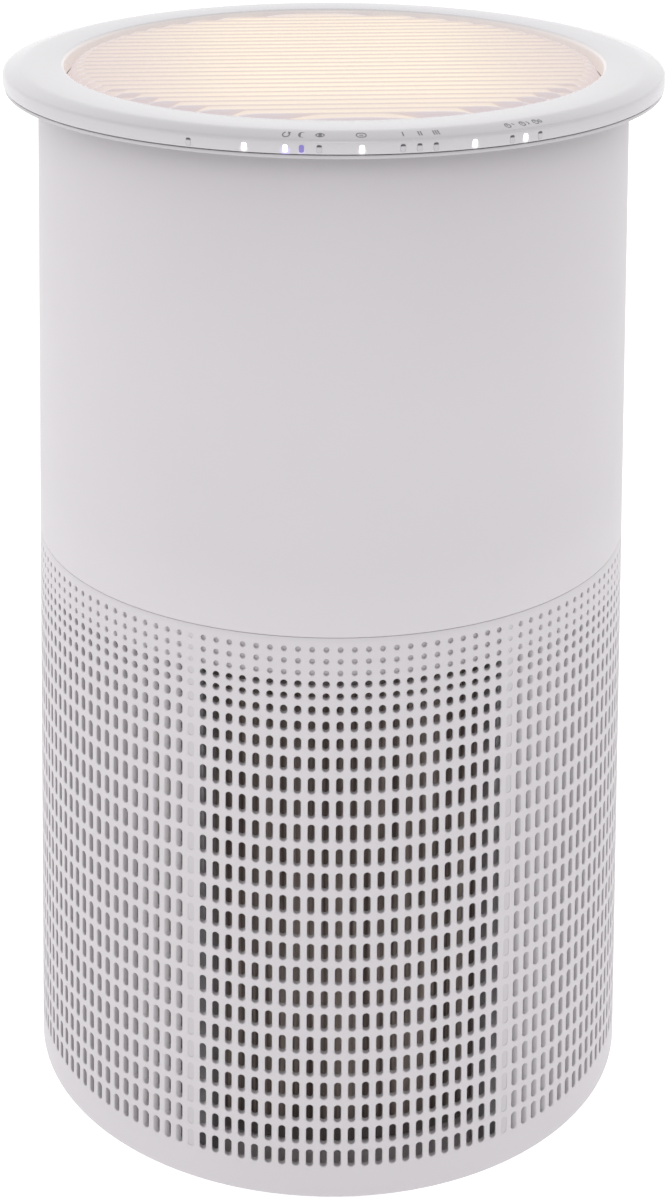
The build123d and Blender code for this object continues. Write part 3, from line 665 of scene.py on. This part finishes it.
def roll_up(bm):
    """Wraps the flat sector on the drafted body, with each slot cut straight back.

    Along its two side edges the wall is square to the body, so that it meets the next sector.
    """
    side = 0.3 * MM
    for vert in bm.verts:
        angle, into, z = vert.co.x / shell_foot_r, vert.co.y, vert.co.z
        outer = body_radius(z)
        inner = outer - into
        if sector_left + side < vert.co.x < sector_right - side:
            across = outer * math.sin(angle)
            vert.co = (across, -math.sqrt(inner * inner - across * across), z)
        else:
            vert.co = (inner * math.sin(angle), -inner * math.cos(angle), z)


def perforated_shell(paint):
    bm = flat_sector()
    ease_edges(bm)
    roll_up(bm)
    sector = bpy.data.meshes.new("sector")
    bm.to_mesh(sector)
    bm.free()
    for k in range(SECTORS):
        bm = bmesh.new()
        bm.from_mesh(sector)
        bmesh.ops.rotate(bm, verts=bm.verts, matrix=Matrix.Rotation(k * math.tau / SECTORS, 3, "Z"))
        piece = finish_mesh(bm, f"shell_sector_{k + 1}", paint)
        install(piece, "lower_housing", "shell_white", "intake_shell")
    bpy.data.meshes.remove(sector)


# ---- the plain upper wall ----
def wall_openings():
    """First and last angle, in radians, and lowest and highest z of each opening in the upper wall."""
    radius = body_radius(SLIT_Z)
    openings = []
    for k in range(SLIT_COUNT):
        middle = math.radians(SLIT_ANGLE) + (k - (SLIT_COUNT - 1) / 2) * SLIT_PITCH / radius
        half = SLIT_W / 2 / radius
        openings.append((middle - half, middle + half, SLIT_Z - SLIT_H / 2, SLIT_Z + SLIT_H / 2))
    low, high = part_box("mains_inlet")
    half = (high.x + INLET_GAP) / body_radius(low.z)
    openings.append((math.pi - half, math.pi + half, low.z - INLET_GAP, high.z + INLET_GAP))
    return openings


def upper_wall(paint):
    """Smooth drafted wall, with the row of sensor slits and the mains opening cut in it."""
    openings = wall_openings()
    cuts = sorted(a for hole in openings for a in hole[:2])
    even = [math.radians(1.5 * k) for k in range(240)]
    turns = sorted(cuts + [a for a in even if all(abs(a - c) > math.radians(0.3) for c in cuts)])
    levels = {head_foot_z, top_of("upper_shell")} | {z for hole in openings for z in hole[2:]}
    bm = bmesh.new()
    upright = [bm.verts.new((0.0, -body_radius(z), z)) for z in sorted(levels)]
    edges = [bm.edges.new(pair) for pair in zip(upright, upright[1:])]
    for before, angle in zip(turns, turns[1:] + [math.tau]):
        made = bmesh.ops.extrude_edge_only(bm, edges=edges)
        edges = [item for item in made["geom"] if isinstance(item, bmesh.types.BMEdge)
                 and all(v in made["geom"] for v in item.verts)]
        bmesh.ops.rotate(bm, verts=new_verts(made), matrix=Matrix.Rotation(angle - before, 3, "Z"))
    bmesh.ops.remove_doubles(bm, verts=bm.verts, dist=1e-5)

    def opened(face):
        middle = face.calc_center_median()
        angle = math.atan2(middle.x, -middle.y) % math.tau
        return any(a < angle < b and c < middle.z < d for a, b, c, d in openings)

    bmesh.ops.delete(bm, geom=[f for f in bm.faces if opened(f)], context="FACES_ONLY")
    bmesh.ops.recalc_face_normals(bm, faces=bm.faces)
    wall = bmesh.ops.extrude_face_region(bm, geom=bm.faces[:], use_keep_orig=True)
    for vert in new_verts(wall):
        vert.co.xy *= (vert.co.xy.length - SHELL_WALL) / vert.co.xy.length
    bmesh.ops.recalc_face_normals(bm, faces=bm.faces)
    rims = [e for e in bm.edges if e.calc_face_angle(0.0) > 1.0
            and all(v.co.xy.length > body_radius(v.co.z) - 1e-5 for v in e.verts)]
    bevelled(bm, rims, WALL_CUT_ROUND, 2)
    piece = finish_mesh(bm, "upper_wall", paint)
    install(piece, "head", "shell_white", "upper_shell")


# ---- the control ring ----
def control_ring(paint):
    points = (
        (ring_r, RING_LIP_Z), (ring_r, RING_FACE_TOP), (RING_FLAT_R, ring_top_z),
        (RING_OPEN_R, ring_top_z), (RING_OPEN_R, RING_LIP_Z), (RING_OPEN_R + RING_WALL, RING_LIP_Z),
        (RING_OPEN_R + RING_WALL, ring_top_z - RING_WALL), (RING_FLAT_R, ring_top_z - RING_WALL),
        (ring_r - RING_WALL, RING_INNER_CORNER_Z), (ring_r - RING_WALL, RING_LIP_Z),
    )
    rounds = dict(enumerate((RING_LIP_ROUND, RING_FACE_ROUND, RING_TOP_ROUND, RING_INNER_ROUND)))
    piece = turned_piece("control_ring", paint, points, rounds, 360, 4, 25.0)
    install(piece, "head", "rim_white", "rim_cover")


def ring_tray(paint):
    inner, outer = TRAY_INNER_R, radius_of("rim_tray")
    points = ((outer, tray_z0), (outer, tray_z1), (inner, tray_z1), (inner, tray_z0))
    piece = turned_piece("ring_tray", paint, points, {0: TRAY_FOOT_ROUND, 1: TRAY_TOP_ROUND}, 360)
    install(piece, "head", "rim_white", "rim_tray")


def windows(name, paint, kind, *nodes, proud=LENS_PROUD, margin=0.0):
    """The windows of one kind, or with a margin the frames that show round them, proud of the face."""
    bm = bmesh.new()
    size = (LENS_W + 2 * margin, LENS_DEPTH, lens_z1 - lens_z0 + 2 * margin)
    for angle, lens in LENSES:
        if lens != kind:
            continue
        block = bmesh.ops.create_cube(bm, size=1.0)["verts"]
        bmesh.ops.scale(bm, verts=block, vec=size)
        middle = (0, -ring_r - proud + LENS_DEPTH / 2, (lens_z0 + lens_z1) / 2)
        bmesh.ops.translate(bm, verts=block, vec=middle)
        edges = list({e for v in block for e in v.link_edges})
        through = [e for e in edges if abs(e.verts[0].co.y - e.verts[1].co.y) > LENS_DEPTH / 2]
        made = bevelled(bm, through, LENS_CORNER, 4)
        verts = list(set(block) & set(bm.verts) | set(made["verts"]))
        bmesh.ops.rotate(bm, verts=verts, matrix=Matrix.Rotation(math.radians(angle), 3, "Z"))
    piece = finish_mesh(bm, name, paint)
    rounded(piece, LENS_EDGE_ROUND)
    install(piece, "head", "lens_clear", *nodes)


# ---- marks on the sloping band, each drawn flat in millimetres ----
def mark_bar(bm, x, y, width, height):
    """A thin upright bar; x runs round the ring and y up the slope."""
    verts = bmesh.ops.create_grid(bm, x_segments=1, y_segments=1, size=0.5)["verts"]
    bmesh.ops.scale(bm, verts=verts, vec=(width, height, 1))
    bmesh.ops.translate(bm, verts=verts, vec=(x, y, 0))


def mark_arc(bm, x, y, radius, line, start, sweep):
    """A line of even width bent to an arc, from the start angle through the sweep, in degrees."""
    for vert in bm.verts:
        vert.tag = True
    a = math.radians(start)
    ends = [bm.verts.new((r * math.cos(a), r * math.sin(a), 0))
            for r in (radius - line / 2, radius + line / 2)]
    edge = bm.edges.new(ends)
    bmesh.ops.spin(bm, geom=ends + [edge], axis=(0, 0, 1), cent=(0, 0, 0), steps=20,
                   angle=math.radians(sweep), use_merge=sweep >= 360, use_duplicate=False)
    fresh = [v for v in bm.verts if not v.tag]
    bmesh.ops.translate(bm, verts=fresh, vec=(x, y, 0))


def mark_disc(bm, x, y, radius, segments=14, turn=0.0):
    place = Matrix.Translation((x, y, 0)) @ Matrix.Rotation(math.radians(turn), 4, "Z")
    bmesh.ops.create_circle(bm, cap_ends=True, segments=segments, radius=radius, matrix=place)


def mark_loop(bm):
    """An arrow that runs round: the fan looks after itself."""
    mark_arc(bm, 0, 0, 1.35, 0.5, 110, 290)
    mark_disc(bm, 1.05, 1.0, 0.8, 3, 40)


def mark_moon(bm):
    """Crescent between two arcs that almost meet at their ends."""
    steps = 12
    outer, inner = [], []
    for k in range(steps + 1):
        a = math.radians(60 + 240 * k / steps)
        bite = 0.015 + 1.1 * (1 - abs(2 * k / steps - 1))
        outer.append(bm.verts.new((1.5 * math.cos(a), 1.5 * math.sin(a), 0)))
        inner.append(bm.verts.new((1.5148 * math.cos(a) + bite, 1.35 * math.sin(a), 0)))
    edges = [bm.edges.new(pair) for row in (outer, inner) for pair in zip(row, row[1:])]
    bmesh.ops.bridge_loops(bm, edges=edges)


def mark_eye(bm):
    mark_arc(bm, 0, -1.15, 2.1, 0.42, 35, 110)
    mark_arc(bm, 0, 1.15, 2.1, 0.42, 215, 110)
    mark_disc(bm, 0, 0, 0.72)


def mark_panel(bm):
    """Rounded frame round a short line: the lamp's panel."""
    mark_arc(bm, -0.8, 0, 1.1, 0.42, 90, 180)
    mark_arc(bm, 0.8, 0, 1.1, 0.42, -90, 180)
    for y in (1.1, -1.1, 0.0):
        mark_bar(bm, 0, y, 1.6, 0.42)


def mark_bars(count):
    def draw(bm):
        for k in range(count):
            mark_bar(bm, (k - (count - 1) / 2) * 1.0, 0, 0.5, 2.4)
    return draw


def mark_clock(sweep):
    """A clock face with its hand, and beside it an arc that grows with the time it stands for."""
    def draw(bm):
        mark_arc(bm, 0, 0, 1.1, 0.4, 0, 360)
        mark_bar(bm, 0, 0.3, 0.4, 0.9)
        mark_arc(bm, 2.3, 0, 0.7, 0.4, 90 - sweep, sweep)
    return draw


MARKS = (
    (-11.8, mark_loop), (-9.3, mark_moon), (-6.45, mark_eye), (0.0, mark_panel),
    (6.6, mark_bars(1)), (9.35, mark_bars(2)), (12.0, mark_bars(3)),
    (24.6, mark_clock(90)), (27.4, mark_clock(180)), (30.0, mark_clock(360)),
)
MARK_UP_SLOPE, MARK_STRETCH = 0.52, 1.5
INK_TOP, INK_T = 0.05 * MM, 0.04 * MM


def ring_marks(paint):
    """Printed marks as thin ink on the band between the face and the flat top."""
    bm = bmesh.new()
    rise, run = ring_top_z - RING_FACE_TOP, ring_r - RING_FLAT_R
    slope = math.hypot(rise, run)
    for angle, draw in MARKS:
        stroke = bmesh.new()
        draw(stroke)
        for vert in stroke.verts:
            share = MARK_UP_SLOPE + vert.co.y * MARK_STRETCH * MM / slope
            radius = ring_r - run * share
            around = math.radians(angle) + vert.co.x * MM / radius
            vert.co = (radius * math.sin(around), -radius * math.cos(around),
                       RING_FACE_TOP + rise * share + INK_TOP)
        mesh = bpy.data.meshes.new("stroke")
        stroke.to_mesh(mesh)
        stroke.free()
        bm.from_mesh(mesh)
        bpy.data.meshes.remove(mesh)
    for face in bm.faces:
        face.normal_update()
        if face.normal.z < 0:
            face.normal_flip()
    ink = bmesh.ops.extrude_face_region(bm, geom=bm.faces[:], use_keep_orig=True)
    bmesh.ops.translate(bm, verts=new_verts(ink), vec=(0, 0, -INK_T))
    piece = finish_mesh(bm, "ring_marks", paint)
    install(piece, "head", "black_plastic")


# ---- the grille ----
def fin(bm, y, reach, low):
    """One upright fin; its top follows the turned outline that rounds the grille off at its edge."""
    half = math.sqrt(reach * reach - y * y)
    flat = reach - FIN_SHOULDER
    upright = Matrix.Rotation(math.pi / 2, 4, "X")
    sheet = bmesh.ops.create_grid(bm, x_segments=26, y_segments=1, size=1.0, matrix=upright)["verts"]
    faces = list({face for vert in sheet for face in vert.link_faces})
    for vert in sheet:
        on_top = vert.co.z > 0
        x = half * math.sin(vert.co.x * math.pi / 2)
        past = max(0.0, math.hypot(x, y) - flat)
        drop = FIN_SHOULDER - math.sqrt(max(0.0, FIN_SHOULDER ** 2 - past * past))
        vert.co = (x, y - FIN_T / 2, fin_top_z - drop if on_top else low)
    back = bmesh.ops.extrude_face_region(bm, geom=faces, use_keep_orig=True)
    bmesh.ops.translate(bm, verts=new_verts(back), vec=(0, FIN_T, 0))


def grille(paint):
    """Upright fins side to side, with round shoulders where they drop to the hoop."""
    bm = bmesh.new()
    inner = hoop_r - HOOP_WALL
    hoop_top = fin_top_z - FIN_SHOULDER
    rib_top = hoop_z0 + RIB_H
    for k in range(-FIN_PAIRS, FIN_PAIRS):
        fin(bm, (k + 0.5) * FIN_PITCH, inner + HOOP_WALL / 2, rib_top)
    bmesh.ops.recalc_face_normals(bm, faces=bm.faces)
    tops = [e for e in bm.edges if e.calc_face_angle(0.0) > 1.2
            and all(v.co.z > hoop_top - 1e-5 for v in e.verts)]
    bevelled(bm, tops, FIN_ROUND, 3)
    fins = finish_mesh(bm, "grille_fins", paint, 40.0)
    install(fins, "head", "grille_plastic", "outlet_grille")
    points = ((hoop_r, hoop_z0), (hoop_r, hoop_top), (inner, hoop_top), (inner, hoop_z0))
    hoop = turned_piece("grille_hoop", paint, points, {1: HOOP_OUTER_ROUND, 2: HOOP_INNER_ROUND})
    install(hoop, "head", "grille_plastic")
    bm = bmesh.new()
    for x in (-inner / 2, 0.0, inner / 2):
        rib = bmesh.ops.create_cube(bm, size=1.0)["verts"]
        bmesh.ops.scale(bm, verts=rib, vec=(RIB_W, 2 * math.sqrt(inner ** 2 - x * x), RIB_H))
        bmesh.ops.translate(bm, verts=rib, vec=(x, 0, hoop_z0 + RIB_H / 2))
    ribs = finish_mesh(bm, "grille_ribs", paint)
    rounded(ribs, RIB_ROUND)
    install(ribs, "head", "grille_plastic")


# ---- the filter's sleeve ----
def filter_sleeve(paint):
    """Knitted sleeve with shallow upright flutes."""
    low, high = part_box("prefilter_sleeve")
    bm = bmesh.new()
    loop = bmesh.ops.create_circle(bm, cap_ends=False, segments=SLEEVE_FLUTES * 4, radius=high.x)["verts"]
    for vert in loop:
        turn = math.atan2(vert.co.y, vert.co.x) * SLEEVE_FLUTES
        vert.co.xy *= (high.x - SLEEVE_DIP / 2 * (1 - math.cos(turn))) / high.x
    bmesh.ops.translate(bm, verts=loop, vec=(0, 0, low.z))
    up = new_verts(bmesh.ops.extrude_edge_only(bm, edges=bm.edges[:]))
    bmesh.ops.translate(bm, verts=up, vec=(0, 0, high.z - low.z))
    bmesh.ops.recalc_face_normals(bm, faces=bm.faces)
    wall = bmesh.ops.extrude_face_region(bm, geom=bm.faces[:], use_keep_orig=True)
    for vert in new_verts(wall):
        vert.co.xy *= (vert.co.xy.length - SLEEVE_WALL) / vert.co.xy.length
    piece = finish_mesh(bm, "filter_sleeve", paint, 60.0)
    install(piece, "filter", "filter_mesh", "prefilter_sleeve")


# ---- the scene ----
aim_camera()
bpy.context.scene.view_settings.view_transform = "Standard"

shell_white = shell_plastic("shell_white", (0.64, 0.612, 0.637))
ring_white = ring_plastic("ring_white", (0.60, 0.582, 0.605))

finishes = {
    "shell_white": shell_white,
    "rim_white": ring_white,
    "inner_grey": moulded("inner_grey", (0.42, 0.41, 0.42), 0.5, 2200.0),
    "black_plastic": moulded("black_plastic", (0.03, 0.03, 0.032), 0.45, 2200.0),
    "fan_plastic": moulded("fan_plastic", (0.22, 0.23, 0.25), 0.38, 1800.0),
    "filter_mesh": knitted("filter_mesh"),
    "filter_paper": pleated_paper("filter_paper"),
    "carbon": granules("carbon"),
    "gasket_foam": foam_rubber("gasket_foam"),
    "foot_rubber": foam_rubber("foot_rubber", (0.07, 0.07, 0.072)),
    "tab_fabric": woven("tab_fabric", (0.12, 0.12, 0.13), 0.9 * MM),
    "steel": brushed("steel", (0.62, 0.62, 0.63)),
    "copper_core": windings("copper_core"),
    "circuit_board": board_mask("circuit_board"),
    "component_black": moulded("component_black", (0.02, 0.02, 0.022), 0.4, 3000.0),
    "heat_sink": brushed("heat_sink", (0.75, 0.76, 0.78), 0.4),
    "lens_clear": dark_window("lens_dark"),
    "led_yellow": lamp_glow("led_yellow", (1.0, 0.82, 0.5), 2.0, 0.2),
    "diffuser": lamp_glow("diffuser", (1.0, 0.80, 0.56), 1.2, 0.16),
    "grille_plastic": grille_plastic("grille_plastic"),
    "brass_pin": brushed("brass_pin", (0.78, 0.60, 0.28), 0.3),
}

perforated_shell(shell_white)
upper_wall(shell_white)
control_ring(ring_white)
ring_tray(tray_plastic_with_painted_shade("tray_white_painted_shade", (0.52, 0.505, 0.52)))
windows("windows_lit", lit_window("lens_lit", (1.0, 1.0, 1.0), 2.5), "white", "light_pipes")
windows("window_violet", lit_window("lens_violet", (0.80, 0.78, 1.0), 1.1), "violet")
windows("window_faint", lit_window("lens_faint", (0.30, 0.20, 1.0), 0.20, (0.20, 0.17, 0.38)), "faint")
windows("windows_dark", finishes["lens_clear"], "dark")
window_gap = satin("window_gap", (0.34, 0.33, 0.35), 0.5)
windows("window_frames", window_gap, "dark", proud=FRAME_PROUD, margin=FRAME_MARGIN)
ring_marks(moulded("mark_ink", (0.16, 0.155, 0.165), 0.5, 2600.0))
grille(finishes["grille_plastic"])
filter_sleeve(finishes["filter_mesh"])

cap_plastic = moulded("cap_plastic", (0.30, 0.265, 0.26), 0.5, 2200.0)
finish_of = {
    "inlet_deck": shell_white, "filter_bottom_cap": cap_plastic, "filter_top_cap": cap_plastic,
    "base_pan": moulded("base_grey", (0.76, 0.72, 0.74), 0.5, 2200.0),
}
slot_of = {part["node"]: part["material_slot"] for part in frame["record"]["subparts"]}
softened = {
    "base_pan": 0.5, "foot_pads": 1.2, "guide_posts": 0.5, "filter_bottom_cap": 0.6, "filter_top_cap": 0.6,
    "impeller": 0.25, "stator": 0.3, "inlet_deck": 0.4, "mains_inlet": 0.3, "rotor_can": 0.6,
    "fan_duct": 0.3, "filter_gasket": 0.8, "impeller_nut": 0.3, "psu_transformer": 0.5,
}
for body, nodes in frame["record"]["behaviour"]["bodies"].items():
    for node in nodes:
        if frame["nodes"][node].hide_render:
            continue
        slot = slot_of[node]
        dressed(node, finish_of.get(node, finishes[slot]), slot, body, softened.get(node, 0.0) * MM)

# ---- floor and light ----
bm = bmesh.new()
bmesh.ops.create_grid(bm, x_segments=1, y_segments=1, size=6.0)
floor_paint = Paint("floor", (0.68, 0.68, 0.68), 0.8)
floor_paint.glow((1.0, 1.0, 1.0, 1.0), 0.62)
floor = finish_mesh(bm, "floor", floor_paint, normals=False)


def studio_sky(base, back, overhead):
    """A white room: a bright sweep low down behind the object, and less light from overhead."""
    world = bpy.data.worlds.new("studio")
    world.use_nodes = True
    sky = Nodes(world.node_tree)
    background = sky.tree.nodes["Background"]
    sky.plug(background.inputs["Color"], (1.0, 1.0, 1.0, 1.0))
    y, z = sky.axes("Generated")[1:]
    behind = back * y.clear(-0.5, 0.6)
    low_down = 1.0 - z.clear(0.35, 0.95)
    upward = base + (overhead - base) * z.clear(0.3, 0.8)
    sky.plug(background.inputs["Strength"], upward + behind * low_down)
    bpy.context.scene.world = world


studio_sky(0.46, 1.0, 0.70)
soft_box("key_light", (-0.1, -2.3, 1.75), (0, 0, 0.35), 1.0, 10.0)
soft_box("left_light", (-2.0, -0.3, 0.9), (0, 0, 0.3), 1.2, 2.0)
